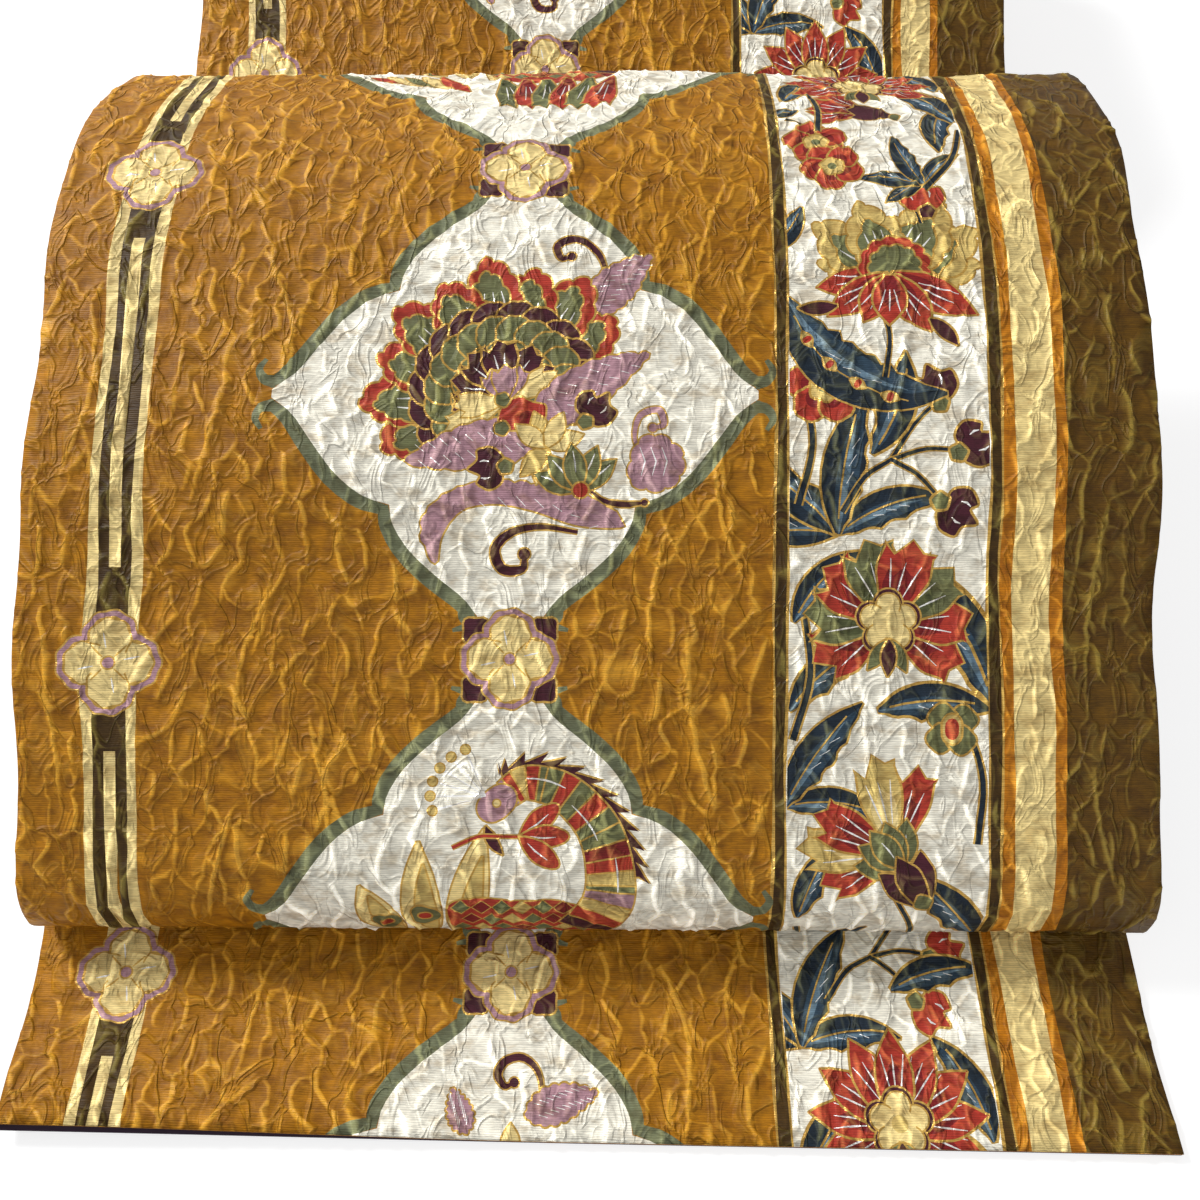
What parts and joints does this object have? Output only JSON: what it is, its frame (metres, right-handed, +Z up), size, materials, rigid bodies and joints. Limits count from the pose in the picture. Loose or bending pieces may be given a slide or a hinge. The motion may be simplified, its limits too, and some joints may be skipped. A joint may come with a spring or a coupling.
{
  "type": "fukuro obi sash laid out for show",
  "caption": "Wide crinkled obi sash, its end flat in front, puffed into a drum and climbing as an upper panel onto its folded rest.",
  "frame": {"origin": "centre of the bounding box's bottom, on the table that the sash lies on", "axes": "+X to the viewer's right across the sash, +Y back along its length, +Z up from the table"},
  "size_m": [0.314, 0.5628, 0.1131],
  "materials": {
    "figured_crepe": "satin crinkled crepe with dyed and gold-outlined figures",
    "dark_lining": "plain satin"
  },
  "bodies": {
    "root": {"tare_face": "figured_crepe", "tare_lining": "dark_lining", "drum_face": "figured_crepe", "drum_lining": "dark_lining", "upper_face": "figured_crepe", "upper_lining": "dark_lining", "folded_rest": "figured_crepe"}
  },
  "joints": []
}
